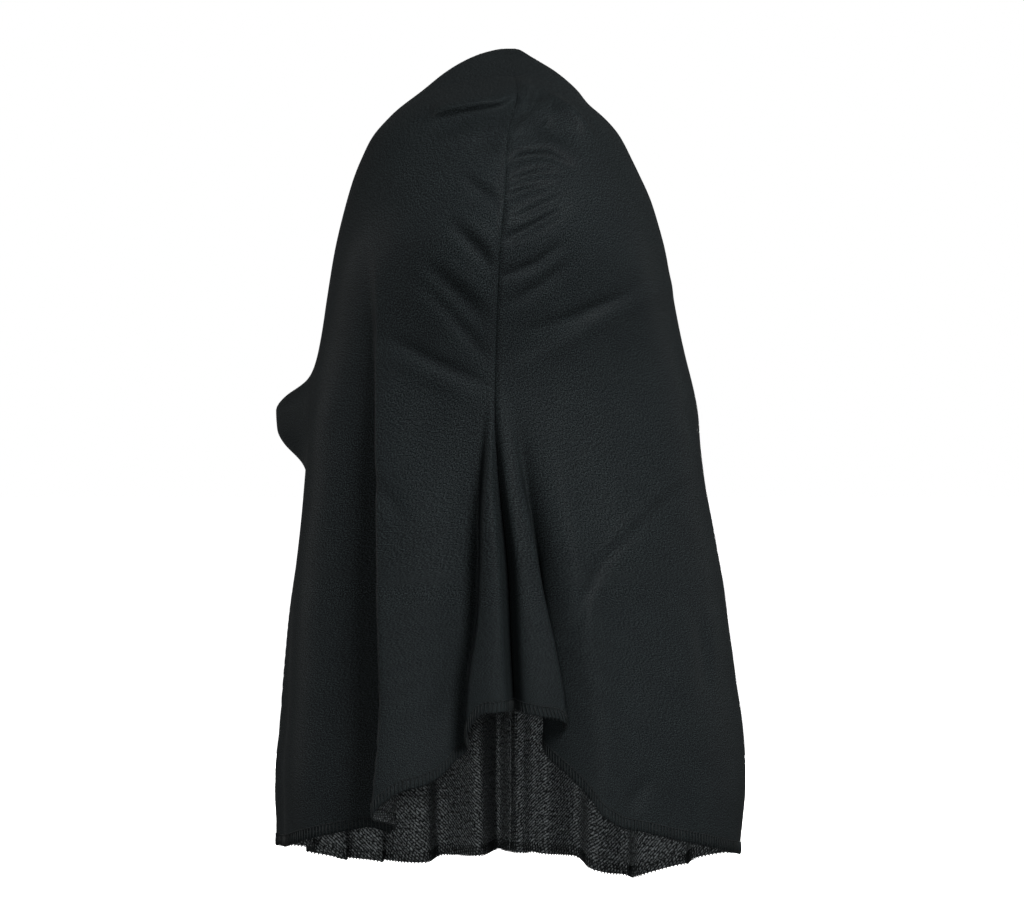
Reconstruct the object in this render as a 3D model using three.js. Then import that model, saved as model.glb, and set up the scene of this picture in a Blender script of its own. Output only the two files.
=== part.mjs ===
// A hooded cape: hood and short drape cut in one, made of two mirrored cloth halves. The halves are
// sewn together down the back, from the brow over the crown to the back hem, and down the front from
// the chin to the front hem. The face opening lies between brow and chin on the +Y side.
// Millimetres, +Z up. The origin is the place inside the crown seam where the top of the wearer's
// head carries the cape. The back of the cape faces -Y and its right half, seen from behind, lies on
// +X. Depths are measured down from the brow, the cape's highest point.
import * as THREE from 'three';

// Depths at which the cape's girth is set, and where its edges lie.
const HEAD_TOP = 14; // the head bears on the crown seam this far below the highest point
const BROW = 14;
const TEMPLE = 50;
const CHEEK = 115;
const JAW = 211;
const SHOULDER = 300;
const CHIN = 305; // bottom of the face opening
const HEM_BACK = 398;
const HEM_SIDE = 478;
const HEM_FRONT = 500;

// Half widths of the left and right halves at those depths; the hood leans a little to the left.
const LEFT_WIDTH = { brow: 40, temple: 82, cheek: 104, jaw: 121, shoulder: 129, hem: 140 };
const RIGHT_WIDTH = { brow: 27, temple: 64, cheek: 90, jaw: 110, shoulder: 123, hem: 140 };

// How far forward (+Y) the back seam, the widest line of the side and the front edge lie.
const BACK_REACH = { crown: 75, brow: -5, temple: -78, cheek: -100, jaw: -74, shoulder: -77, hem: -90 };
const SIDE_REACH = { crown: 75, brow: 38, temple: 10, cheek: -5, jaw: 5, shoulder: 10, hem: 15 };
const FRONT_REACH = { crown: 75, brow: 77, temple: 80, cheek: 81, jaw: 80, shoulder: 98, hem: 126 };

// Half width of the face opening, and how far its edge flares outward beside the jaw.
const LEFT_FACE = { brow: 34, temple: 66, cheek: 80, jaw: 92 };
const RIGHT_FACE = { brow: 22, temple: 52, cheek: 72, jaw: 84 };
const FLARE_SHARE = 0.62; // share of the way round from the back seam where the flare starts
const LEFT_FLARE = 50;
const RIGHT_FLARE = 14;
const FACE_CLOSING = 94; // height above the chin over which the opening rounds in
const FLARE_TOP = 145; // height above the chin where the flare starts
const FLARE_FULL = 79; // and where it is full

// Cloth and sewing.
const CLOTH = 1.6; // thickness of the cloth solid
const GAP = 0.3; // clearance between sewn pieces
const CURVED_GAP = 0.5; // the same along the flared face hem, where the cut faces twist
const FACE_HEM = 6; // width of the turned hem round the face opening
const HEM_BAND = 7; // width of the overlocked edge at the bottom
const EDGE_BULK = 0.5; // how far a hem stands proud of the cloth on each side
const SEAM_ALLOWANCE = 8; // depth of the sewn-together cloth edges inside a seam
const SEAM_BULK = 2.2; // thickness of those edges with their thread

// Mesh density.
const FACE_ROWS = 20; // from brow to chin
const DRAPE_ROWS = 11; // from chin to hem
const COLUMNS = 17; // from back seam to front edge
const SAMPLES = 160; // steps used when a curve is measured

// ---- Shape of the cape ------------------------------------------------------------------------

const smooth = (t) => {
  const c = Math.min(1, Math.max(0, t));
  return c * c * (3 - 2 * c);
};

const mix = (a, b, t) => a + (b - a) * t;

// A smooth curve through values at depths. It runs over the square root of depth, so that the crown
// comes out round and not pointed.
function profile(depths, values) {
  const xs = depths.map((depth) => Math.sqrt(depth));
  const slopes = xs.map((x, i) => {
    const a = Math.max(i - 1, 0);
    const b = Math.min(i + 1, xs.length - 1);
    return (values[b] - values[a]) / (xs[b] - xs[a]);
  });
  return (depth) => {
    const x = Math.sqrt(Math.max(depth, 0));
    let i = 0;
    while (i < xs.length - 2 && x > xs[i + 1]) i += 1;
    const span = xs[i + 1] - xs[i];
    const t = Math.min((x - xs[i]) / span, 1.2);
    const t2 = t * t;
    const t3 = t2 * t;
    return (2 * t3 - 3 * t2 + 1) * values[i] + (t3 - 2 * t2 + t) * span * slopes[i]
      + (3 * t2 - 2 * t3) * values[i + 1] + (t3 - t2) * span * slopes[i + 1];
  };
}

const GIRTH_DEPTHS = [0, BROW, TEMPLE, CHEEK, JAW, SHOULDER, HEM_SIDE];
const widthProfile = (w) => profile(GIRTH_DEPTHS, [0, w.brow, w.temple, w.cheek, w.jaw, w.shoulder, w.hem]);
const reachProfile = (r) => profile(
  GIRTH_DEPTHS, [r.crown, r.brow, r.temple, r.cheek, r.jaw, r.shoulder, r.hem]);
const faceProfile = (f) => profile(
  [0, BROW, TEMPLE, CHEEK, JAW, SHOULDER], [0, f.brow, f.temple, f.cheek, f.jaw, f.jaw]);

const backReach = reachProfile(BACK_REACH);
const sideReach = reachProfile(SIDE_REACH);
const frontReach = reachProfile(FRONT_REACH);

// One half of the cape. sign is -1 for the left half and +1 for the right.
function makeHalf(sign, widths, face, flare) {
  const width = widthProfile(widths);
  const faceWidth = faceProfile(face);

  // Half width of the face opening: full beside the cheek, closing round to nothing at the chin.
  const openWidth = (depth) => {
    if (depth >= CHIN) return 0;
    const closing = Math.max(0, 1 - (CHIN - depth) / FACE_CLOSING);
    return Math.min(faceWidth(depth), 0.97 * width(depth)) * Math.pow(1 - closing * closing, 0.6);
  };

  // Angle round the cape, from 0 at the back seam, at which the cloth ends.
  const endAngle = (depth) => {
    const w = Math.max(width(depth), 1e-3);
    return Math.PI - Math.asin(Math.min(openWidth(depth) / w, 0.97));
  };

  // A point of the outer surface: share 0 is the back seam and 1 the front edge.
  const point = (share, depth) => {
    const end = endAngle(depth);
    const angle = share * end;
    const side = sideReach(depth);
    const back = backReach(depth);
    const front = frontReach(depth);
    const x = width(depth) * Math.sin(angle);
    const y = angle < Math.PI / 2
      ? side - (side - back) * Math.cos(angle)
      : side + (front - side) * Math.cos(angle) / Math.min(Math.cos(end), -0.05);
    const down = smooth((depth - CHIN + FLARE_TOP) / (FLARE_TOP - FLARE_FULL));
    const fade = smooth((CHIN - depth) / FLARE_FULL);
    const out = flare * smooth((share - FLARE_SHARE) / (1 - FLARE_SHARE)) * down * fade;
    return new THREE.Vector3(sign * (x + out), y, -depth);
  };

  return { sign, point };
}

// Depths at even steps along the back seam, or along the front edge, between two depths.
function evenDepths(half, share, from, to, steps) {
  const depths = [];
  const lengths = [];
  let last = null;
  for (let i = 0; i <= SAMPLES; i += 1) {
    const depth = mix(Math.sqrt(from), Math.sqrt(to), i / SAMPLES) ** 2;
    const here = half.point(share, depth);
    lengths.push(last ? lengths[i - 1] + here.distanceTo(last) : 0);
    depths.push(depth);
    last = here;
  }
  const total = lengths[SAMPLES];
  const even = [];
  let k = 0;
  for (let i = 0; i <= steps; i += 1) {
    const wanted = total * i / steps;
    while (k < SAMPLES - 1 && lengths[k + 1] < wanted) k += 1;
    const t = (wanted - lengths[k]) / Math.max(lengths[k + 1] - lengths[k], 1e-9);
    even.push(mix(depths[k], depths[k + 1], t));
  }
  return even;
}

// How the hem falls from the raised centre back, round the side, to the front.
function hemDepth(share) {
  const toSide = smooth(share / 0.5) ** 0.75;
  return mix(HEM_BACK, HEM_SIDE, toSide) + (HEM_FRONT - HEM_SIDE) * smooth((share - 0.5) / 0.5);
}

// ---- The grid that every piece of one half is cut from ------------------------------------------

const START = 0.12; // depth of the short first row at the brow
const ROWS = FACE_ROWS + DRAPE_ROWS;
const CHIN_ROW_DROP = 28; // how far the row that ends at the chin falls on its way to the back seam
const CHIN_BEND = 0.45; // how sharply that row leaves the front seam

function makeGrid(half) {
  const chinAtBack = CHIN + CHIN_ROW_DROP;
  const backDepths = [
    ...evenDepths(half, 0, START, chinAtBack, FACE_ROWS),
    ...evenDepths(half, 0, chinAtBack, HEM_BACK - HEM_BAND, DRAPE_ROWS - 1).slice(1)];
  const frontDepths = [
    ...evenDepths(half, 1, START, CHIN, FACE_ROWS),
    ...evenDepths(half, 1, CHIN, HEM_FRONT - HEM_BAND, DRAPE_ROWS - 1).slice(1)];

  const depthAt = (row, share) => {
    if (row === ROWS) return hemDepth(share);
    const back = backDepths[row];
    const front = frontDepths[row];
    const bend = mix(1, CHIN_BEND, Math.min(1, row / FACE_ROWS));
    const upper = 1 - Math.pow(1 - share, bend);
    const fall = (hemDepth(share) - HEM_BACK) / (HEM_FRONT - HEM_BACK);
    const low = Math.max(0, (row - FACE_ROWS) / (DRAPE_ROWS - 1));
    return mix(back, front, mix(upper, fall, smooth(low)));
  };
  const edgePoint = (row, share) => half.point(share, depthAt(row, share));

  // Columns are even along each row, but for the last, which is the width of the face hem.
  const shares = [];
  for (let row = 0; row <= ROWS; row += 1) {
    const lengths = [0];
    for (let i = 1; i <= SAMPLES; i += 1) {
      const step = edgePoint(row, i / SAMPLES).distanceTo(edgePoint(row, (i - 1) / SAMPLES));
      lengths.push(lengths[i - 1] + step);
    }
    const total = lengths[SAMPLES];
    const strip = Math.min(FACE_HEM, total * 0.4);
    const line = [];
    let k = 0;
    for (let column = 0; column <= COLUMNS; column += 1) {
      const wanted = column === COLUMNS ? total : (total - strip) * column / (COLUMNS - 1);
      while (k < SAMPLES - 1 && lengths[k + 1] < wanted) k += 1;
      const t = (wanted - lengths[k]) / Math.max(lengths[k + 1] - lengths[k], 1e-9);
      line.push((k + Math.min(t, 1)) / SAMPLES);
    }
    shares.push(line);
  }

  const places = shares.map((line, row) => line.map((share) => edgePoint(row, share)));
  const onSeam = (row, column) => column === 0 || (column === COLUMNS && row >= FACE_ROWS);
  places.forEach((line, row) => line.forEach((p, column) => {
    if (onSeam(row, column)) p.x = half.sign * GAP / 2;
  }));

  // Outward normals, from the neighbours along the row and along the column.
  const normals = places.map((line, row) => line.map((p, column) => {
    const across = line[Math.min(column + 1, COLUMNS)].clone().sub(line[Math.max(column - 1, 0)]);
    const down = places[Math.min(row + 1, ROWS)][column].clone()
      .sub(places[Math.max(row - 1, 0)][column]);
    const normal = across.cross(down).multiplyScalar(-half.sign);
    if (onSeam(row, column)) normal.x = 0;
    return normal.normalize();
  }));
  return { half, places, normals };
}

// Distance from a grid vertex to a neighbour, measured square to the edge that crosses between them.
function crossDistance(grid, row, column, [toRow, toColumn]) {
  const place = grid.places[row][column];
  const away = grid.places[toRow][toColumn].clone().sub(place);
  const before = toColumn === column ? [row, column - 1] : [row - 1, column];
  const after = toColumn === column ? [row, column + 1] : [row + 1, column];
  const at = ([r, c]) => grid.places[Math.min(Math.max(r, 0), ROWS)][Math.min(Math.max(c, 0), COLUMNS)];
  const edge = at(after).clone().sub(at(before)).normalize();
  return away.cross(edge).length();
}

// A closed solid over a block of grid cells. has(row, column) picks the cells, out and inside are the
// offsets of its two faces from the cloth's outer surface, and move shifts an edge to leave a gap.
function cutSolid(grid, has, out, inside, move = () => null, gap = GAP) {
  const index = new Map();
  const vertices = [];
  const vertex = (row, column, layer) => {
    const key = `${row},${column},${layer}`;
    if (!index.has(key)) {
      const place = grid.places[row][column].clone();
      const normal = grid.normals[row][column].clone();
      const towards = move(row, column);
      if (towards) {
        const other = grid.places[towards[0]][towards[1]];
        const t = Math.min(gap / crossDistance(grid, row, column, towards), 0.5);
        place.lerp(other, t);
        normal.lerp(grid.normals[towards[0]][towards[1]], t).normalize();
      }
      place.addScaledVector(normal, layer === 0 ? out : -inside);
      index.set(key, vertices.length / 3);
      vertices.push(place.x, place.y, place.z);
    }
    return index.get(key);
  };
  const triangles = [];
  const quad = (a, b, c, d) => {
    if (grid.half.sign > 0) triangles.push(a, b, c, a, c, d);
    else triangles.push(a, c, b, a, d, c);
  };
  for (let row = 0; row < ROWS; row += 1) {
    for (let column = 0; column < COLUMNS; column += 1) {
      if (!has(row, column)) continue;
      const corners = [[row, column], [row + 1, column], [row + 1, column + 1], [row, column + 1]];
      const neighbours = [[row, column - 1], [row + 1, column], [row, column + 1], [row - 1, column]];
      const outer = corners.map(([r, c]) => vertex(r, c, 0));
      const inner = corners.map(([r, c]) => vertex(r, c, 1));
      quad(outer[0], outer[3], outer[2], outer[1]);
      quad(inner[0], inner[1], inner[2], inner[3]);
      neighbours.forEach(([r, c], side) => {
        const inGrid = r >= 0 && r < ROWS && c >= 0 && c < COLUMNS;
        if (inGrid && has(r, c)) return;
        const next = (side + 1) % 4;
        // The same diagonal from either side of a cut keeps the two cut faces parallel.
        if (side < 2) quad(outer[side], outer[next], inner[next], inner[side]);
        else quad(inner[side], outer[side], outer[next], inner[next]);
      });
    }
  }
  return closedGeometry(vertices, triangles);
}

// A strip standing inward from a seam: the sewn-together edges of the two halves.
function seamSolid(grid, column, firstRow, lastRow) {
  const vertices = [];
  const triangles = [];
  const half = SEAM_BULK / 2;
  const near = CLOTH + GAP;
  const far = near + SEAM_ALLOWANCE;
  const section = [[-half, near], [half, near], [half, far], [-half, far]];
  for (let row = firstRow; row <= lastRow; row += 1) {
    const place = grid.places[row][column];
    const normal = grid.normals[row][column];
    section.forEach(([x, depth]) => {
      const p = place.clone().addScaledVector(normal, -depth);
      vertices.push(x, p.y, p.z);
    });
    if (row === firstRow) continue;
    const now = (row - firstRow) * 4;
    for (let side = 0; side < 4; side += 1) {
      const next = (side + 1) % 4;
      triangles.push(now - 4 + side, now - 4 + next, now + next);
      triangles.push(now - 4 + side, now + next, now + side);
    }
  }
  const end = (lastRow - firstRow) * 4;
  triangles.push(0, 2, 1, 0, 3, 2, end, end + 1, end + 2, end, end + 2, end + 3);
  return closedGeometry(vertices, triangles);
}

// A geometry from shared vertices, turned so that its faces point out.
function closedGeometry(vertices, triangles) {
  let volume = 0;
  const at = (i) => new THREE.Vector3(vertices[3 * i], vertices[3 * i + 1], vertices[3 * i + 2]);
  for (let i = 0; i < triangles.length; i += 3) {
    volume += at(triangles[i]).dot(at(triangles[i + 1]).cross(at(triangles[i + 2])));
  }
  const geometry = new THREE.BufferGeometry();
  geometry.setAttribute('position', new THREE.Float32BufferAttribute(vertices, 3));
  geometry.setIndex(volume < 0 ? triangles.slice().reverse() : triangles);
  geometry.computeVertexNormals();
  return geometry;
}

// ---- Materials ----------------------------------------------------------------------------------

const material = (color, roughness) => new THREE.MeshStandardMaterial({ color, roughness, metalness: 0 });
const satin = () => material(0x1d2021, 0.55);
const thread = () => material(0x151717, 0.8);

// ---- The cape -----------------------------------------------------------------------------------

const cape = new THREE.Group();
cape.position.z = HEAD_TOP;

function addPiece(name, geometry, material) {
  const mesh = new THREE.Mesh(geometry, material);
  mesh.name = name;
  cape.add(mesh);
}

const leftGrid = makeGrid(makeHalf(-1, LEFT_WIDTH, LEFT_FACE, LEFT_FLARE));
const rightGrid = makeGrid(makeHalf(1, RIGHT_WIDTH, RIGHT_FACE, RIGHT_FLARE));

const isFaceHem = (row, column) => row < FACE_ROWS && column === COLUMNS - 1;
const isHemBand = (row) => row === ROWS - 1;

for (const [side, grid] of [['left', leftGrid], ['right', rightGrid]]) {
  // Cloth half, less the cells of its two hems.
  const isPanel = (row, column) => !isFaceHem(row, column) && !isHemBand(row);
  addPiece(`${side}_panel`, cutSolid(grid, isPanel, 0, CLOTH), satin());

  // Turned hem along the face opening.
  const clearOfPanel = (row, column) => {
    if (row === FACE_ROWS) return [row - 1, COLUMNS];
    return column === COLUMNS - 1 ? [row, column + 1] : null;
  };
  const faceHem = cutSolid(
    grid, isFaceHem, EDGE_BULK, CLOTH + EDGE_BULK, clearOfPanel, CURVED_GAP);
  addPiece(`face_hem_${side}`, faceHem, satin());

  // Overlocked bottom edge.
  const clearOfHem = (row, column) => (row === ROWS - 1 ? [row + 1, column] : null);
  const hemBand = cutSolid(grid, isHemBand, EDGE_BULK, CLOTH + EDGE_BULK, clearOfHem);
  addPiece(`hem_overlock_${side}`, hemBand, thread());
}

// Seam allowances inside the back seam and the front seam, clear of the hems at their ends.
addPiece('back_seam_overlock', seamSolid(leftGrid, 0, 1, ROWS - 2), thread());
addPiece('front_seam_overlock', seamSolid(leftGrid, COLUMNS, FACE_ROWS + 1, ROWS - 2), thread());

export default cape;
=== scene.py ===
"""A black satin hooded cape: hood and short drape cut in one, seen from behind, hanging as on a head."""
import math

import bmesh
import bpy
import numpy as np
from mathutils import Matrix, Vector


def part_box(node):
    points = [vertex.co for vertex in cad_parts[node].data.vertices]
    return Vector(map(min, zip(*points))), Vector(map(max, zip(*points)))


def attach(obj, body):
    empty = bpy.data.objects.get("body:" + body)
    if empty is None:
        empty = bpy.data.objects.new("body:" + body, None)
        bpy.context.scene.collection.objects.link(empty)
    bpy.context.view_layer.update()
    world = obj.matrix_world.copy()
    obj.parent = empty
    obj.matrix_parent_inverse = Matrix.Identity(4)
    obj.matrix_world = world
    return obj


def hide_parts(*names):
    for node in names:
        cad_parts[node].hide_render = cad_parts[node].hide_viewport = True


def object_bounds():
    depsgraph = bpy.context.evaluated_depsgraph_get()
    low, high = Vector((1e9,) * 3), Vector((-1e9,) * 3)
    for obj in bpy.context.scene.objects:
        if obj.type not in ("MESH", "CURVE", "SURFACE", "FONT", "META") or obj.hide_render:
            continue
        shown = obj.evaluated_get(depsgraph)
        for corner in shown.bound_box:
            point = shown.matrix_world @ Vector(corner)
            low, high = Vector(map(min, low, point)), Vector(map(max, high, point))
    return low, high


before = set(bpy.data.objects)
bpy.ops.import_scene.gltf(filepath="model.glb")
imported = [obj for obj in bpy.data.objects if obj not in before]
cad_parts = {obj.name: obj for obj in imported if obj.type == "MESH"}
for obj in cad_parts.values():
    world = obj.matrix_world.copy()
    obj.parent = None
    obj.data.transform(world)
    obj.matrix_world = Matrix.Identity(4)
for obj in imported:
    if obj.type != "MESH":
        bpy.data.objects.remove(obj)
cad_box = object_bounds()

MM = 0.001  # the shapes below are laid out in millimetres

# ---- Camera -------------------------------------------------------------------------------------
# Level with about the middle of the cape, straight behind it, on a long lens as for a catalogue picture.
CAMERA_DISTANCE = 2.4
CAMERA_DROP = 0.228  # below the origin
VIEW_WIDTH = 0.6144  # width seen at the cape
SENSOR = 36.0

camera_data = bpy.data.cameras.new("camera")
camera_data.sensor_width = SENSOR
camera_data.lens = SENSOR * CAMERA_DISTANCE / VIEW_WIDTH
camera_data.clip_end = 50
camera = bpy.data.objects.new("camera", camera_data)
camera.location = (0, -CAMERA_DISTANCE, -CAMERA_DROP)
camera.rotation_euler = (math.pi / 2, 0, 0)
bpy.context.scene.collection.objects.link(camera)
bpy.context.scene.camera = camera


# ---- Cloth halves -------------------------------------------------------------------------------
# Two mirrored pieces of satin-faced polyester twill, each running from the back seam round the side
# to the face opening and the front seam. Depth is counted down from the brow, the highest point, and
# x is positive to the right as seen from behind.
top_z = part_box("left_panel")[1][2] / MM
CLOTH = 0.45 * MM

# Depths down from the brow, and lengths measured up from the chin.
CHIN = 305
FACE_CLOSING = 94  # the face opening narrows over this
FLARE_TOP = 145  # the right edge starts to flare here
FLARE_FULL = 79
LOBE_OUT = 46  # how far the lobe of the left edge sticks out


def smooth(t):
    """Smooth step from 0 to 1."""
    t = np.clip(t, 0, 1)
    return t * t * (3 - 2 * t)


def mix(a, b, t):
    return a + (b - a) * t


def through(knots, root=False):
    """A smooth curve through (depth, value) knots; root=True rounds it off towards depth 0."""
    xs = np.array([k[0] for k in knots], float)
    ys = np.array([k[1] for k in knots], float)
    if root:
        xs = np.sqrt(xs)
    slopes = np.gradient(ys, xs)
    left = np.diff(ys) / np.diff(xs)
    for i in range(1, len(xs) - 1):  # no overshoot at a turning point
        if left[i - 1] * left[i] <= 0:
            slopes[i] = 0

    def value(at):
        x = np.clip(np.asarray(at, float), 0, None)
        x = np.clip(np.sqrt(x) if root else x, xs[0], xs[-1])
        i = np.clip(np.searchsorted(xs, x, side="right") - 1, 0, len(xs) - 2)
        span = xs[i + 1] - xs[i]
        t = (x - xs[i]) / span
        return (
            (2 * t**3 - 3 * t**2 + 1) * ys[i] + (t**3 - 2 * t**2 + t) * span * slopes[i]
            + (3 * t**2 - 2 * t**3) * ys[i + 1] + (t**3 - t**2) * span * slopes[i + 1])

    return value


back_reach = through(
    [(0, 75), (5, 48), (14, 10), (30, -38), (50, -68), (80, -90), (115, -100), (211, -74), (300, -80),
     (478, -90)], True)
side_reach = through([(0, 75), (14, 38), (50, 10), (115, -5), (211, 5), (300, 10), (478, 15)], True)
front_reach = through([(0, 75), (14, 77), (50, 80), (115, 81), (211, 80), (300, 98), (500, 128)], True)

# Where the back seam wanders to as it hangs: over at the crown's corner, then left to the nape.
seam_line = through([(0, -2), (7, -1), (31, 3), (55, -2), (91, -4), (127, -7), (169, -9), (211, -10),
                     (258, -7.6), (310, -2.4), (355, -0.4), (400, 2)])

HALVES = {
    "left": dict(
        sign=-1,
        width=through([(0, 0), (7, 28), (14, 40), (25, 54), (40, 73), (50, 82), (67, 90), (115, 104.5),
                       (187, 117), (211, 121), (259, 125.5), (343, 132.5), (400, 135), (439, 137.5),
                       (478, 136)], True),
        face=through([(0, 0), (14, 38), (50, 74), (115, 84), (211, 92), (300, 92)], True),
        flare=50, pull=1.1),
    "right": dict(
        sign=1,
        width=through([(0, 0), (7, 15), (14, 26.5), (25, 39.6), (33, 46.5), (40, 54.6), (50, 63.6), (67, 72),
                       (91, 82), (115, 89.5), (187, 104), (211, 109), (259, 117), (343, 130.5), (439, 141),
                       (478, 139)], True),
        face=through([(0, 0), (14, 25), (50, 58), (115, 76), (211, 84), (300, 84)], True),
        flare=14, pull=1.5),
}

# The hem, by how far out it lies behind (near) and in front (far).
HEM_NEAR = {
    "left": through([(0, 391), (10, 393), (21, 397), (25, 406), (30, 416), (37, 421), (44, 430), (51, 435),
                     (67, 442), (74, 451), (79, 460), (103, 464), (127, 472), (140, 479)]),
    "right": through([(0, 392), (14, 395), (27, 400), (32, 408), (37, 420), (42, 438), (47, 450),
                      (55, 457), (77, 464), (113, 474), (140, 483)]),
}
FRONT_HEM = 494  # depth at the front seam
SIDE_RISE_START = 105  # out from the middle
SIDE_RISE_LENGTH = 35


def front_hem(dip, place, breadth, rise):
    """The front hem: level at the front seam, lower under one flute, and rising towards the side."""
    def depth(reach):
        flute = dip * np.exp(-(((reach - place) / breadth) ** 2))
        return FRONT_HEM + flute - rise * smooth((reach - SIDE_RISE_START) / SIDE_RISE_LENGTH)

    return depth


HEM_FAR = {"left": front_hem(6, 65, 30, 13), "right": front_hem(15, 70, 30, 9)}

# Pulls and dents in the hanging cloth: (points of x and depth), height, breadth, and whether the
# cloth drops straight off at the line, as a lip of cloth does.
CREASES = {
    "left": [
        ([(8, 28), (-7, 36), (-25, 39), (-48, 44)], 11, 9, True),
        ([(-1, 45), (-25, 49), (-52, 55)], -3.5, 6, False),
        ([(-25, 61), (-7, 65)], -3.2, 4, False),
        ([(-28, 84), (-19, 91), (-6, 101)], -2.6, 3.5, False),
        ([(-28, 76), (-15, 85), (-5, 93)], 1.0, 4, False),
        ([(-36, 110), (-22, 124), (-8, 140)], -2.4, 4, False),
        ([(-30, 106), (-14, 120), (-7, 130)], 1.2, 4, False),
        ([(-52, 132), (-37, 146), (-17, 165)], -2.2, 5, False),
        ([(-40, 132), (-22, 146), (-10, 160)], 1.2, 5, False),
        ([(-56, 142), (-36, 162), (-12, 192)], -1.6, 4, False),
        ([(-72, 176), (-46, 190), (-14, 204)], -2.2, 4, False),
        ([(-72, 186), (-44, 199), (-14, 214)], 1.0, 6, False),
        ([(-82, 250), (-72, 266), (-62, 282)], -1.6, 4, False),
        ([(-40, 330), (-34, 372), (-46, 408)], -1.8, 6, False),
    ],
    "right": [
        ([(3, 16), (6, 24), (7, 33), (3, 40)], 5.0, 5, False),
        ([(9, 33), (20, 36), (5, 52)], -5.5, 5, False),
        ([(0, 57), (11, 46), (23, 34), (34, 44), (46, 56)], 6.5, 4, False),
        ([(14, 57), (24, 52), (36, 62)], -5.0, 5.5, False),
        ([(-4, 67), (14, 63), (26, 63), (40, 72)], 1.0, 3.5, False),
        ([(-5, 77), (8, 71), (22, 70), (36, 77)], -3.2, 2.6, False),
        ([(-6, 88), (12, 82), (33, 79)], -2.6, 2.4, False),
        ([(-8, 99), (6, 92), (24, 87)], -2.7, 2.4, False),
        ([(2, 108), (16, 101), (32, 93)], -2.0, 2.4, False),
        ([(-8, 122), (11, 113), (32, 101)], -3.0, 2.6, False),
        ([(-8, 142), (14, 134), (30, 122)], -2.4, 2.8, False),
        ([(-4, 158), (17, 146), (34, 133)], -1.6, 3.4, False),
        ([(42, 160), (66, 151)], -1.0, 2.5, False),
        ([(7, 173), (56, 157)], -1.4, 3.5, False),
        ([(-7, 199), (77, 151), (105, 138)], 0.8, 6, False),
        ([(-4, 190), (40, 166), (84, 140)], -0.9, 5, False),
        ([(33, 357), (42, 326), (54, 306), (70, 288)], -1.8, 3, False),
        ([(36, 352), (48, 322), (66, 288), (92, 262), (108, 250)], 0.8, 5, False),
        ([(64, 297), (84, 276), (104, 262)], -1.0, 3.5, False),
        ([(112, 340), (115, 384)], -1.6, 4, False),
        ([(66, 452), (82, 430)], -1.8, 4, False),
    ],
}


def add_creases(creases, x, depth):
    """The push outward of ridges (height above 0) and grooves (below 0) along their paths."""
    out = np.zeros(np.shape(x))
    for path, height, breadth, lip in creases:
        path = np.array(path, float)
        near = np.full(np.shape(x), 1e9)
        along = np.zeros(np.shape(x))
        side = np.zeros(np.shape(x))
        lengths = np.hypot(*np.diff(path, axis=0).T)
        start = 0.0
        for (ax, ay), (bx, by), length in zip(path[:-1], path[1:], lengths):
            t = np.clip(((x - ax) * (bx - ax) + (depth - ay) * (by - ay)) / length**2, 0, 1)
            d = np.hypot(x - ax - t * (bx - ax), depth - ay - t * (by - ay))
            closer = d < near
            near = np.where(closer, d, near)
            along = np.where(closer, (start + t * length) / lengths.sum(), along)
            cross = (bx - ax) * (depth - ay) - (by - ay) * (x - ax)
            side = np.where(closer, np.sign(cross), side)
            start += length
        fade = np.sin(np.pi * np.clip(along, 0.03, 0.97)) ** 0.6
        reach = np.where(lip & (side < 0), 2.6, breadth)
        out = out + height * fade * np.exp(-((near / reach) ** 2))
    return out


# Lines of the folds that hang from the gathered nape, and of the long fold at the left.
left_tube_edge = through(
    [(211, -10), (240, -13), (272, -14.7), (309, -15), (345, -17), (370, -21), (394, -23)])
right_tube_edge = through(
    [(205, -9), (225, -3), (258, 3), (290, 9), (324, 15), (355, 22), (382, 27), (400, 29)])
long_fold_edge = through([(60, -86), (90, -83), (151, -79), (241, -76), (331, -72), (391, -70), (445, -74)])


def hanging_folds(side, x, depth):
    """Pushes (outward, sideways) for the folds of the near side."""
    grow = smooth((depth - 200) / 120)
    slit = seam_line(depth)
    edge = left_tube_edge(depth) if side == "left" else right_tube_edge(depth)
    sign = -1 if side == "left" else 1
    beyond = (x - edge) * sign
    span = np.clip(abs(edge - slit), 1.5, None)
    inside = np.clip((x - slit) * sign / span, 0, 1)
    crown = np.clip(1 - (2 * inside - 1) ** 2, 0, 1)
    out = grow * 5 * crown * (beyond < 0)
    groove = np.exp(-(((x - slit) / mix(1.6, 3.2, grow)) ** 2))
    out = out - mix(1.2, 11, grow) * groove * smooth((depth - 50) / 40)
    if side == "left":
        far_side = np.exp(-(np.clip(beyond - 5, 0, None) / 17) ** 1.5)
        valley = np.where(beyond > 0, smooth(beyond / 5) * far_side, 0)
        out = out - grow * 20 * valley
        lean = sign * grow * 3.5 * np.exp(-((beyond / 5) ** 2))
    else:
        low = smooth((depth - 300) / 90)
        far_side = np.exp(-(np.clip(beyond - 5, 0, None) / 6.5) ** 2)
        valley = np.where(beyond > 0, smooth(beyond / 5) * far_side, 0)
        out = out - grow * mix(15, 26, low) * valley
        lean = sign * grow * (mix(3, 3.5, low) * np.exp(-((beyond / 5) ** 2))
                              - mix(2, 16, low) * np.exp(-(((beyond - 9) / 5) ** 2)))
        out = out + grow * 4 * np.exp(-(((beyond - 24) / 9) ** 2))
    if side == "left":
        edge = long_fold_edge(depth)
        grow = smooth((depth - 110) / 260)
        beyond = edge - x
        room = np.clip(HALVES["left"]["width"](depth) + edge, 5, None)
        drop = smooth(beyond / 5) * (1 - smooth(beyond / room)) ** 0.8
        out = out - grow * 34 * np.where(beyond > 0, drop, 0)
        out = out + grow * 6 * np.exp(-((beyond / 22) ** 2))
        lean = lean - grow * 5 * np.exp(-((beyond / 7) ** 2))
    return out, lean


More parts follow.
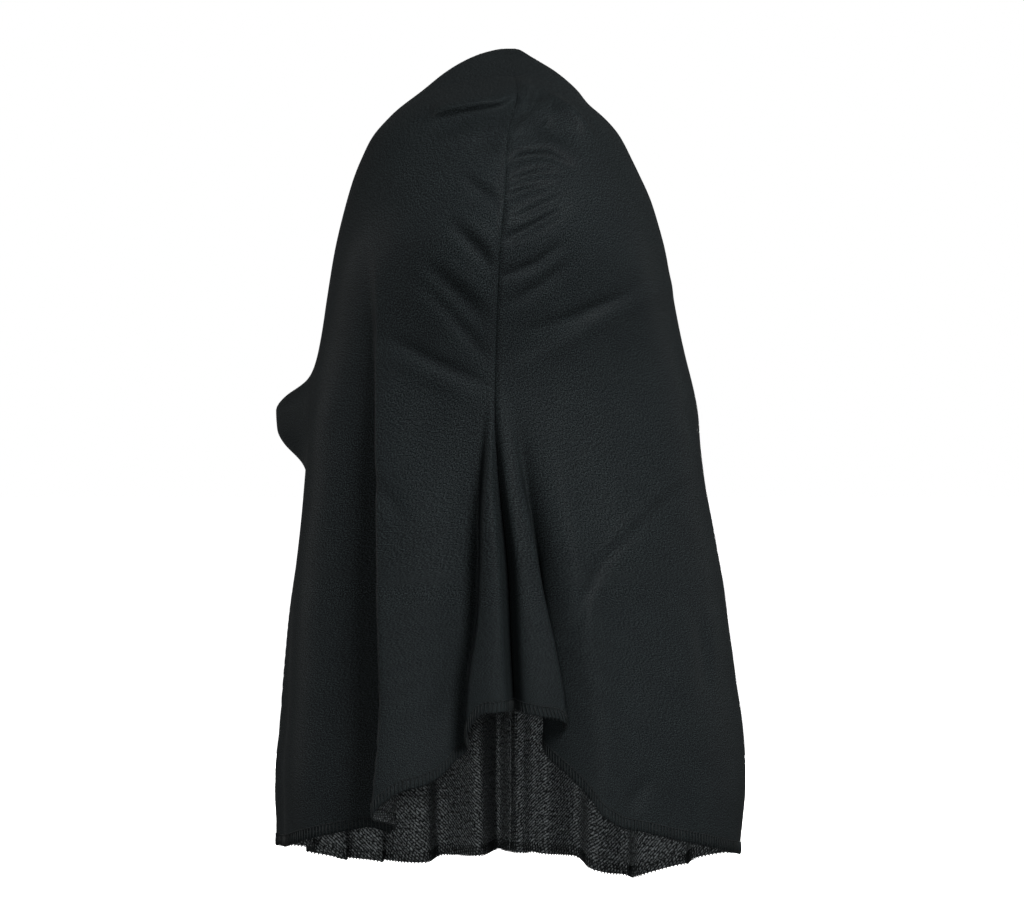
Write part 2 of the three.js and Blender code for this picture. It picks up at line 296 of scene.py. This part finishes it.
def undulation(x, depth, y):
    """The slight unevenness of hanging cloth, a few waves of unlike lengths laid over each other."""
    return (
        0.9 * np.sin(x / 17.0 + depth / 61.0 + 0.6) * np.sin(depth / 37.0 + y / 40)
        + 0.5 * np.sin(x / 9.5 - depth / 27.0 + 2.1) * np.sin(y / 23 + 1.0)
        + 0.2 * np.sin(x / 5.2 + depth / 19.0) * np.sin(depth / 13.0 - y / 11))


# Folds of the front below the chin, which show on the inside under the raised hem: where each lies
# in degrees round from the back seam, how deep, and how broad.
FRONT_FOLDS = {
    "left": [(100, 6, 6), (112, -3, 4), (120, 7, 3), (128, -4, 3), (134, 12, 2.6), (141, -4, 3),
             (147, 12, 2.8), (155, -5, 3), (162, 9, 3), (170, -13, 3.4), (176.6, 12, 2.2)],
    "right": [(96, -4, 6), (110, 6, 5), (122, -4, 5), (133, 7, 4), (143, -3, 3), (151, 8, 3), (158, -4, 3),
              (164, 9, 3.2), (171, -5, 2.5), (178, -9, 2.3)],
}


FLUTE_DEPTH = 1.5  # scales the depths above


def front_folds(side, angle, depth):
    """Soft flutes round the side and the front of the drape, deepening to the hem."""
    turn = np.degrees(angle)
    grow = smooth((depth - 250) / 200)
    out = np.zeros(np.shape(turn))
    for place, height, breadth in FRONT_FOLDS[side]:
        out = out + height * np.exp(-(((turn - place) / breadth) ** 2))
    return FLUTE_DEPTH * out * grow


LOBE = through([(150, 0), (186, 0.02), (197, 0.35), (208, 0.85), (217, 1), (228, 1), (238, 0.9), (250, 0.55),
                (262, 0.22), (275, 0.05), (290, 0)])


def half_point(side, share, depth):
    """Points of the outer surface of one half: share 0 is the back seam, 1 the front edge."""
    half = HALVES[side]
    share, depth = np.broadcast_arrays(np.asarray(share, float), np.asarray(depth, float))
    width = np.clip(half["width"](depth), 0.01, None)
    closing = np.clip(1 - (CHIN - depth) / FACE_CLOSING, 0, 1)
    opening = np.minimum(half["face"](depth), 0.97 * width) * (1 - closing**2) ** 0.6
    end = np.pi - np.arcsin(np.clip(opening / width, 0, 0.97))
    angle = share * end
    near = angle < np.pi / 2
    side_y, back_y, front_y = side_reach(depth), back_reach(depth), front_reach(depth)
    reach_y = np.where(near, side_y - back_y, front_y - side_y)
    front_cos = np.cos(angle) / np.minimum(np.cos(end), -0.05)
    x = half["sign"] * width * np.sin(angle)
    y = np.where(near, side_y - reach_y * np.cos(angle), side_y + reach_y * front_cos)

    # Outward direction in plan.
    nx = half["sign"] * np.sin(angle) * np.clip(reach_y, 5, None)
    ny = -np.cos(angle) * width
    length = np.hypot(nx, ny) + 1e-9
    nx, ny = nx / length, ny / length

    on_near = smooth((100 - np.degrees(angle)) / 12)
    x = x + seam_line(depth) * (1 - abs(x) / width) * on_near
    out, lean = hanging_folds(side, x, depth)
    out = out + half["pull"] * add_creases(CREASES[side], x, depth)
    out = out * on_near + front_folds(side, angle, depth)
    out = out + undulation(x, depth, y) * smooth(depth / 60)
    x = x + out * nx + lean * on_near
    y = y + out * ny

    if side == "left":
        push = LOBE(depth) * LOBE_OUT
    else:
        down = smooth((depth - CHIN + FLARE_TOP) / (FLARE_TOP - FLARE_FULL))
        push = half["flare"] * down * smooth((CHIN - depth) / FLARE_FULL)
    x = x + half["sign"] * push * smooth((share - 0.62) / 0.38)

    # The top is lifted to cancel the camera's perspective in its outline, up to 7 mm above the packed
    # solid at the brow. It is no feature of the cape.
    z = top_z - depth
    raised = np.clip(y, 0, None) / (CAMERA_DISTANCE / MM) * (1 - smooth(depth / 110))
    z = z + (z + CAMERA_DROP / MM) * raised
    x = x * (1 + raised)
    return np.stack([x, y, z], -1)


FACE_ROWS = 210
DRAPE_ROWS = 70
COLUMNS = 168
ROWS = FACE_ROWS + DRAPE_ROWS
BRAID = 900  # steps that a row is measured in
CHIN_ROW_DROP = 28  # the chin's row meets the back seam this much lower
GATHER = 0.07  # crowds the columns towards the seams, where the puckers are


def even(line, count, gather=0.0):
    """Parameters, from 0 to 1, of count + 1 steps along a line, closer together towards its ends."""
    steps = np.linalg.norm(np.diff(line, axis=0), axis=1)
    along = np.concatenate([[0], np.cumsum(steps)])
    share = np.linspace(0, 1, count + 1)
    share = share - gather * np.sin(2 * np.pi * share)
    return np.interp(share * along[-1], along, np.linspace(0, 1, len(line))), along[-1] * share


def even_depths(side, share, start, stop, count):
    root = np.linspace(math.sqrt(start), math.sqrt(stop), 400)
    t, _ = even(half_point(side, share, root**2), count)
    return np.interp(t, np.linspace(0, 1, 400), root) ** 2


HEM_REACH = 138  # the hem's half width


def hem_depth(side, share):
    angle = share * np.pi
    reach = HEM_REACH * np.sin(angle)
    near = HEM_NEAR[side](reach)
    far = HEM_FAR[side](reach)
    return mix(near, far, smooth((np.degrees(angle) - 70) / 40))


def half_grid(side):
    """The half as rows of points, with how far each lies from the row's front end and down the seam."""
    chin_back = CHIN + CHIN_ROW_DROP
    back_hem, front_hem = hem_depth(side, 0.0), hem_depth(side, 1.0)
    back = np.concatenate([even_depths(side, 0.0, 0.12, chin_back, FACE_ROWS),
                           even_depths(side, 0.0, chin_back, back_hem, DRAPE_ROWS)[1:]])
    front = np.concatenate([even_depths(side, 1.0, 0.12, CHIN, FACE_ROWS),
                            even_depths(side, 1.0, CHIN, front_hem, DRAPE_ROWS)[1:]])
    share = np.linspace(0, 1, BRAID)
    fall = (hem_depth(side, share) - back_hem) / (front_hem - back_hem)
    rows, across = [], []
    for row in range(ROWS + 1):
        bend = mix(1, 0.45, min(1, row / FACE_ROWS))
        upper = 1 - (1 - share) ** bend
        low = smooth(max(0, row - FACE_ROWS) / DRAPE_ROWS)
        depth = mix(back[row], front[row], mix(upper, fall, low))
        line = half_point(side, share, depth)
        t, lengths_along = even(line, COLUMNS, GATHER)
        rows.append(np.stack([np.interp(t, share, line[:, k]) for k in range(3)], -1))
        across.append(lengths_along[-1] - lengths_along)
    grid = np.array(rows)
    grid[FACE_ROWS:, -1, 0] = HALVES[side]["sign"] * 0.1
    return grid * MM, np.array(across) * MM


def hexcolour(code):
    """A linear colour from an sRGB hex value."""
    values = [int(code[i:i + 2], 16) / 255 for i in (1, 3, 5)]
    return tuple(v / 12.92 if v <= 0.04045 else ((v + 0.055) / 1.055) ** 2.4 for v in values) + (1.0,)


def add_node(tree, kind, settings=None, **links):
    """A shader node with its properties and inputs set: a link is a socket, a setting is a value."""
    node = tree.nodes.new(kind)
    for name, value in (settings or {}).items():
        setattr(node, name, value)
    for name, value in links.items():
        key = int(name[1:]) if name[0] == "_" and name[1:].isdigit() else name.replace("_", " ")
        if isinstance(value, bpy.types.NodeSocket):
            tree.links.new(value, node.inputs[key])
        else:
            node.inputs[key].default_value = value
    return node


def new_material(name):
    material = bpy.data.materials.new(name)
    material.use_nodes = True
    tree = material.node_tree
    tree.nodes.clear()
    return material, tree


def satin_face():
    """Polyester satin twill, right side: broken floats of yarn catch the light as a fine sparkle. That
    sparkle is painted into the colour as bright spots (painted glints), over a cloudy tone that differs at
    random.
    """
    material, tree = new_material("satin_twill_right_side")
    uv = add_node(tree, "ShaderNodeUVMap", {"uv_map": "cloth"}).outputs["UV"]
    # The sparkle is a painted glint: bright spots of about 0.7 mm in the base colour, coarser than the yarn
    # floats it stands for, so that it shows. The same spots are also made glossier and slightly raised.
    sparkle = add_node(tree, "ShaderNodeTexNoise", Vector=uv, Scale=1500.0, Detail=1.0, Roughness=0.6)
    painted_glint_and_gloss = add_node(tree, "ShaderNodeMapRange", Value=sparkle.outputs["Fac"],
                     From_Min=0.42, From_Max=0.72, To_Min=0.0, To_Max=1.0)
    cloudy = add_node(tree, "ShaderNodeTexNoise", Vector=uv, Scale=45.0, Detail=3.0)
    tone = add_node(tree, "ShaderNodeMix", {"data_type": "RGBA"}, Factor=cloudy.outputs["Fac"])
    tone.inputs[6].default_value = hexcolour("#2b3032")
    tone.inputs[7].default_value = hexcolour("#343b3c")
    # Painted glints: the base colour rises from near-black to the cloudy grey tone where the sparkle is
    # strong.
    colour = add_node(tree, "ShaderNodeMix", {"data_type": "RGBA"}, Factor=painted_glint_and_gloss.outputs["Result"],
                      _7=tone.outputs[2])
    colour.inputs[6].default_value = hexcolour("#0b0d0e")
    rough = add_node(tree, "ShaderNodeMapRange", Value=painted_glint_and_gloss.outputs["Result"], To_Min=0.6, To_Max=0.4)
    bump = add_node(tree, "ShaderNodeBump", Height=sparkle.outputs["Fac"], Strength=0.08,
                    Distance=0.0004)
    shader = add_node(tree, "ShaderNodeBsdfPrincipled", Base_Color=colour.outputs[2],
                      Roughness=rough.outputs["Result"], Normal=bump.outputs["Normal"])
    shader.inputs["Specular IOR Level"].default_value = 0.025
    add_node(tree, "ShaderNodeOutputMaterial", Surface=shader.outputs["BSDF"])
    return material


def twill_back(lean):
    """The same cloth, wrong side: diagonal twill lines, mirrored in the halves as their own UV is. The lines
    are painted pale grey in lit patches, a painted sheen of the threads on the black cloth.
    """
    material, tree = new_material("satin_twill_wrong_side_" + ("left" if lean < 0 else "right"))
    uv = add_node(tree, "ShaderNodeUVMap", {"uv_map": "cloth"}).outputs["UV"]
    turned = add_node(tree, "ShaderNodeMapping", Vector=uv)
    turned.inputs["Rotation"].default_value = (0, 0, math.radians(38))
    # Twill lines are drawn 1.7 mm apart, as coarse as they look on the inside; the weave's own count
    # isn't known.
    lines = add_node(tree, "ShaderNodeTexWave", {"bands_direction": "Y"}, Vector=turned.outputs["Vector"],
                     Scale=math.pi / 10 / 0.0017, Distortion=3.0, Detail=2.0, Detail_Scale=3.0)
    # Painted sheen: a noise picks the patches where the twill lines are painted as lit.
    broken = add_node(tree, "ShaderNodeTexNoise", Vector=uv, Scale=620.0, Detail=2.0, Roughness=0.7)
    lit = add_node(tree, "ShaderNodeMapRange", Value=broken.outputs["Fac"], From_Min=0.4, From_Max=0.65)
    height = add_node(tree, "ShaderNodeMath", {"operation": "MULTIPLY"}, _0=lines.outputs["Fac"],
                      _1=lit.outputs["Result"])
    # The twill lines run from near-black to pale grey in the colour, a painted sheen on black cloth. The
    # same lines also make the bump.
    colour = add_node(tree, "ShaderNodeMix", {"data_type": "RGBA"}, Factor=height.outputs["Value"])
    colour.inputs[6].default_value = hexcolour("#1c1f20")
    colour.inputs[7].default_value = hexcolour("#b4bbbd")
    bump = add_node(tree, "ShaderNodeBump", Height=height.outputs["Value"], Strength=0.6,
                    Distance=0.0004)
    shader = add_node(tree, "ShaderNodeBsdfPrincipled", Base_Color=colour.outputs[2], Roughness=0.6,
                      Normal=bump.outputs["Normal"])
    shader.inputs["Specular IOR Level"].default_value = 0.1
    add_node(tree, "ShaderNodeOutputMaterial", Surface=shader.outputs["BSDF"])
    return material


def link(name, mesh):
    piece = bpy.data.objects.new(name, mesh)
    bpy.context.scene.collection.objects.link(piece)
    return piece


satin = satin_face()
grids = {}
lengths = {}
for side in HALVES:
    grids[side], lengths[side] = half_grid(side)

# The halves meet at the two seams: any difference there is shared out over the nearest columns.
MERGE = 10
for column, rows in ((0, range(ROWS + 1)), (COLUMNS, range(FACE_ROWS, ROWS + 1))):
    for row in rows:
        left, right = grids["left"][row, column].copy(), grids["right"][row, column].copy()
        meet = (left + right) / 2
        for step in range(MERGE):
            at = column + step if column == 0 else column - step
            share = 1 - smooth(step / MERGE)
            grids["left"][row, at] += (meet - left) * share
            grids["right"][row, at] += (meet - right) * share

for side, half in HALVES.items():
    grid, across = grids[side], lengths[side]
    bm = bmesh.new()
    bmesh.ops.create_grid(bm, x_segments=COLUMNS, y_segments=ROWS, size=1)
    uv = bm.loops.layers.uv.new("cloth")
    down = np.concatenate([[0], np.cumsum(np.linalg.norm(np.diff(grid[:, COLUMNS // 2], axis=0), axis=1))])
    places = {}
    for index, vert in enumerate(bm.verts):
        row, column = divmod(index, COLUMNS + 1)
        vert.co = Vector(grid[row, column])
        places[vert] = (across[row][column], down[row])
    for face in bm.faces:
        face.smooth = True
        for loop in face.loops:
            loop[uv].uv = places[loop.vert]
    if half["sign"] > 0:
        bmesh.ops.reverse_faces(bm, faces=bm.faces)
    mesh = bpy.data.meshes.new(side + "_half")
    bm.to_mesh(mesh)
    bm.free()
    mesh.materials.append(satin)
    mesh.materials.append(twill_back(half["sign"]))
    piece = link(side + "_cloth_half", mesh)
    wall = piece.modifiers.new("cloth", "SOLIDIFY")
    wall.thickness = CLOTH
    wall.offset = -1
    wall.material_offset = 1
    wall.use_rim = True
    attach(piece, "root")
    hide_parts(side + "_panel")


# ---- Turned face hems ---------------------------------------------------------------------------
# The edge of each half round the face is folded inward once and held with a row of plain stitches,
# in black polyester thread.
STITCH = 2.6 * MM
THREAD = 0.30 * MM  # thicker than sewing thread, so that it shows


def from_edge(side, distance, rows):
    """Points of the cloth a distance in from its edge, along each row."""
    grid = grids[side]
    found = []
    for row in rows:
        line = grid[row][::-1]
        steps = np.concatenate([[0], np.cumsum(np.linalg.norm(np.diff(line, axis=0), axis=1))])
        found.append([np.interp(min(distance, 0.9 * steps[-1]), steps, line[:, k]) for k in range(3)])
    return np.array(found)


def facing_out(side, rows, column):
    """The cloth's outward direction at a column of the grid."""
    grid = grids[side]
    result = []
    for row in rows:
        up = grid[max(row - 2, 0), column] - grid[min(row + 2, ROWS), column]
        one = grid[row, max(column - 2, 0)]
        two = grid[row, min(column + 2, COLUMNS)]
        n = np.cross(two - one, up) * HALVES[side]["sign"]
        result.append(n / (np.linalg.norm(n) + 1e-12))
    return np.array(result)


def along_line(points, spacing):
    """Evenly spaced parameters along a line: positions in units of its points."""
    steps = np.concatenate([[0], np.cumsum(np.linalg.norm(np.diff(points, axis=0), axis=1))])
    count = max(2, int(steps[-1] / spacing))
    return np.interp(np.linspace(0, steps[-1], count + 1), steps, np.arange(len(points)))


def pick(points, where):
    return np.stack([np.interp(where, np.arange(len(points)), points[:, k]) for k in range(3)], -1)


def thread_piece(name, runs, radius, material):
    """Threads laid along lines of points, made a mesh."""
    data = bpy.data.curves.new(name, "CURVE")
    data.dimensions = "3D"
    data.bevel_depth = radius
    data.bevel_resolution = 0
    data.use_fill_caps = True
    for run in runs:
        spline = data.splines.new("POLY")
        spline.points.add(len(run) - 1)
        for point, place in zip(spline.points, run):
            point.co = (*place, 1)
    drawn = bpy.data.objects.new(name + "_line", data)
    bpy.context.scene.collection.objects.link(drawn)
    graph = bpy.context.evaluated_depsgraph_get()
    mesh = bpy.data.meshes.new_from_object(drawn.evaluated_get(graph))
    bpy.data.objects.remove(drawn)
    mesh.name = name
    mesh.materials.clear()
    mesh.materials.append(material)
    for face in mesh.polygons:
        face.use_smooth = True
    return link(name, mesh)


def thread_finish():
    """Spun polyester thread: darker than the cloth, and a little glossier."""
    material, tree = new_material("spun_polyester_thread")
    place = add_node(tree, "ShaderNodeTexCoord").outputs["Object"]
    twist = add_node(tree, "ShaderNodeTexNoise", Vector=place, Scale=2500.0, Detail=1.0)
    colour = add_node(tree, "ShaderNodeMix", {"data_type": "RGBA"}, Factor=twist.outputs["Fac"])
    colour.inputs[6].default_value = hexcolour("#0b0d0d")
    colour.inputs[7].default_value = hexcolour("#25292a")
    shader = add_node(tree, "ShaderNodeBsdfPrincipled", Base_Color=colour.outputs[2], Roughness=0.45)
    shader.inputs["Specular IOR Level"].default_value = 0.12
    add_node(tree, "ShaderNodeOutputMaterial", Surface=shader.outputs["BSDF"])
    return material


thread = thread_finish()
for side, half in HALVES.items():
    rows = range(1, FACE_ROWS + 1)
    facing = facing_out(side, rows, COLUMNS)
    # Across the fold: the lip, rounded over the edge, then back along the inside.
    across = [(0.0, 0.05), (-0.5, -0.3), (0.0, -0.7), (1.5, -0.75), (3.5, -0.8), (5.2, -0.8), (6.0, -0.6)]
    bm = bmesh.new()
    bmesh.ops.create_grid(bm, x_segments=len(across) - 1, y_segments=len(rows) - 1, size=1)
    edge0 = from_edge(side, 0, rows)
    edge2 = from_edge(side, 2 * MM, rows)
    away = edge0 - edge2
    away /= np.linalg.norm(away, axis=1)[:, None] + 1e-12
    bands = []
    for distance, offset in across:
        base = from_edge(side, max(distance, 0) * MM, rows)
        bands.append(base + away * max(-distance, 0) * MM + facing * offset * MM)
    for index, vert in enumerate(bm.verts):
        row, band = divmod(index, len(across))
        vert.co = Vector(bands[band][row])
    uv = bm.loops.layers.uv.new("cloth")
    for face in bm.faces:
        face.smooth = True
        for loop in face.loops:
            loop[uv].uv = (loop.vert.co.y + loop.vert.co.x, loop.vert.co.z)
    if half["sign"] < 0:
        bmesh.ops.reverse_faces(bm, faces=bm.faces)
    mesh = bpy.data.meshes.new("turned_face_hem_" + side)
    bm.to_mesh(mesh)
    bm.free()
    mesh.materials.append(satin)
    hem = link("turned_face_hem_" + side, mesh)
    wall = hem.modifiers.new("cloth", "SOLIDIFY")
    wall.thickness = 0.25 * MM
    wall.offset = 0
    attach(hem, "root")
    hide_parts("face_hem_" + side)

    first = 6
    line = from_edge(side, 5 * MM, rows[first:])
    where = along_line(line, STITCH / 4)
    lay = np.array([0.1, 0.1, 0.1, -0.6] * len(where))[:len(where)] * MM
    stitches = pick(line, where) + pick(facing[first:], where) * lay[:, None]
    row = thread_piece("face_hem_stitches_" + side, [stitches], THREAD * 0.6, thread)
    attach(row, "root")


# ---- Overlocked hem --------------------------------------------------------------------------------
# The bottom edge is cut and bound in one go by an overlocker: loops of thread wrap the raw edge from a
# line of needle stitches about 6 mm up.
LOOP = 2.4 * MM
LOOP_HEIGHT = 6.3


def above_hem(side, up):
    """Points of the cloth a height above its bottom edge, up each column."""
    grid = grids[side]
    found = []
    for column in range(COLUMNS + 1):
        line = grid[::-1, column][:14]
        steps = np.concatenate([[0], np.cumsum(np.linalg.norm(np.diff(line, axis=0), axis=1))])
        found.append([np.interp(up, steps, line[:, k]) for k in range(3)])
    return np.array(found)


def overlock(name, bottom, top, facing):
    """Loops of thread from a needle line at top, round the raw edge at bottom, and back."""
    where = along_line(bottom, LOOP)
    # (share of a stitch along, share of the way up, offset outward in mm)
    loop = [(0.0, 1.0, 0.35), (0.25, 0.45, 0.55), (0.42, 0.0, 0.45), (0.5, -0.12, 0.0),
            (0.58, 0.0, -0.85), (0.75, 0.5, -0.95), (0.95, 1.0, -0.75)]
    path = []
    for start, stop in zip(where[:-1], where[1:]):
        for along, share, offset in loop:
            at = np.array([mix(start, stop, along)])
            low, high, out = pick(bottom, at)[0], pick(top, at)[0], pick(facing, at)[0]
            path.append(mix(low, high, share) + out * offset * MM)
    needle = along_line(top, LOOP / 4)
    lay = np.array([0.5, 0.5, 0.5, -0.3] * len(needle))[:len(needle)] * MM
    line = pick(top, needle) + pick(facing, needle) * lay[:, None]
    return thread_piece(name, [np.array(path), line], THREAD, thread)


def facing_hem(side):
    grid = grids[side]
    along = np.gradient(grid[ROWS], axis=0)
    up = grid[ROWS - 3] - grid[ROWS]
    n = np.cross(along, up) * HALVES[side]["sign"]
    return n / (np.linalg.norm(n, axis=1)[:, None] + 1e-12)


for side in HALVES:
    facing = facing_hem(side)
    needle_line = above_hem(side, LOOP_HEIGHT * MM)
    hem = overlock("hem_overlock_threads_" + side, above_hem(side, 0), needle_line, facing)
    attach(hem, "root")
    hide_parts("hem_overlock_" + side)


# ---- Seam allowances -------------------------------------------------------------------------------
# Both halves' edges are overlocked together at the back seam and the front seam, and stand inward.
ALLOWANCE = 8.0


def seam_fin(name, line, inward, sway, node):
    line = np.asarray(line)
    across = np.linspace(0, 1, 6)
    bm = bmesh.new()
    bmesh.ops.create_grid(bm, x_segments=len(across) - 1, y_segments=len(line) - 1, size=1)
    bands = []
    for share in across:
        push = np.array([sway(i, share) for i in range(len(line))])
        bands.append(line + inward * share * ALLOWANCE * MM + push[:, None] * np.array([1, 0, 0]) * MM)
    for index, vert in enumerate(bm.verts):
        row, band = divmod(index, len(across))
        vert.co = Vector(bands[band][row])
    uv = bm.loops.layers.uv.new("cloth")
    for face in bm.faces:
        face.smooth = True
        for loop in face.loops:
            loop[uv].uv = (loop.vert.co.y, loop.vert.co.z)
    mesh = bpy.data.meshes.new(name)
    bm.to_mesh(mesh)
    bm.free()
    mesh.materials.append(bpy.data.materials["satin_twill_wrong_side_right"])
    fin = link(name, mesh)
    wall = fin.modifiers.new("cloth", "SOLIDIFY")
    wall.thickness = 0.8 * MM
    wall.offset = 0
    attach(fin, "root")
    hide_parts(node)
    facing = np.repeat([[1.0, 0, 0]], len(line), axis=0)
    edge = overlock(name + "_threads", bands[-1], bands[1], facing)
    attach(edge, "root")


rows = range(4, ROWS)
line = (grids["left"][rows, 0] + grids["right"][rows, 0]) / 2
inward = -(facing_out("left", rows, 3) + facing_out("right", rows, 3))
inward[:, 0] = 0
inward /= np.linalg.norm(inward, axis=1)[:, None]
seam_fin("back_seam_allowance", line + inward * 0.4 * MM, inward,
         lambda i, share: share * (1.2 * math.sin(i / 6.5) + 0.8 * math.sin(i / 2.9)), "back_seam_overlock")
rows = range(FACE_ROWS + 1, ROWS)
line = (grids["left"][rows, COLUMNS] + grids["right"][rows, COLUMNS]) / 2
inward = np.repeat([[0.0, -1.0, 0.0]], len(line), axis=0)
seam_fin("front_seam_allowance", line + inward * 0.4 * MM, inward,
         lambda i, share: share * (3 + 1.0 * math.sin(i / 7.5) + 0.5 * math.sin(i / 2.7)),
         "front_seam_overlock")


# ---- Studio ---------------------------------------------------------------------------------------
# A white floor that only the camera sees and that gives no light, a background that is white to the
# camera and a weak grey light otherwise, and five soft lamps: one high and one low on the camera's side,
# one low in front, and one at each side in front.
FLOOR_DROP = 0.12
AMBIENT = 0.14
bm = bmesh.new()
bmesh.ops.create_grid(bm, x_segments=1, y_segments=1, size=30)
bmesh.ops.translate(bm, vec=(0, 0, cad_box[0][2] - FLOOR_DROP), verts=bm.verts)
mesh = bpy.data.meshes.new("floor")
bm.to_mesh(mesh)
bm.free()
floor = link("floor", mesh)
material, tree = new_material("white_paper")
shader = add_node(tree, "ShaderNodeBsdfPrincipled", Base_Color=hexcolour("#ffffff"), Roughness=0.9,
                  Emission_Color=hexcolour("#ffffff"), Emission_Strength=1.0)
add_node(tree, "ShaderNodeOutputMaterial", Surface=shader.outputs["BSDF"])
mesh.materials.append(material)
floor.visible_diffuse = False
floor.visible_glossy = False

world = bpy.data.worlds.new("studio")
bpy.context.scene.world = world
world.use_nodes = True
tree = world.node_tree
tree.nodes.clear()
seen = add_node(tree, "ShaderNodeBackground", Color=(1, 1, 1, 1), Strength=1.0)
lit = add_node(tree, "ShaderNodeBackground", Color=(1, 1, 1, 1), Strength=AMBIENT)
ray = add_node(tree, "ShaderNodeLightPath")
both = add_node(tree, "ShaderNodeMixShader", _0=ray.outputs["Is Camera Ray"],
                _1=lit.outputs["Background"], _2=seen.outputs["Background"])
add_node(tree, "ShaderNodeOutputWorld", Surface=both.outputs["Shader"])


def softbox(name, place, aim, size, power):
    data = bpy.data.lights.new(name, "AREA")
    data.shape = "RECTANGLE"
    data.size, data.size_y = size
    data.energy = power
    lamp = bpy.data.objects.new(name, data)
    lamp.location = place
    lamp.rotation_euler = (Vector(aim) - Vector(place)).to_track_quat("-Z", "Y").to_euler()
    bpy.context.scene.collection.objects.link(lamp)


softbox("key", (0.9, -1.8, 1.0), (0, 0, -0.25), (0.8, 0.8), 66)
softbox("fill", (-0.3, -2.0, -0.7), (0, 0, -0.4), (0.5, 0.5), 30)
softbox("front", (0.2, 2.6, -0.45), (0, 0, -0.25), (0.9, 0.5), 40)
softbox("front_left", (-2.2, 0.5, 0.0), (0, 0, -0.25), (0.9, 0.9), 18)
softbox("front_right", (2.2, 0.9, 0.0), (0, 0, -0.25), (0.9, 0.9), 6)
bpy.context.scene.view_settings.view_transform = "Standard"
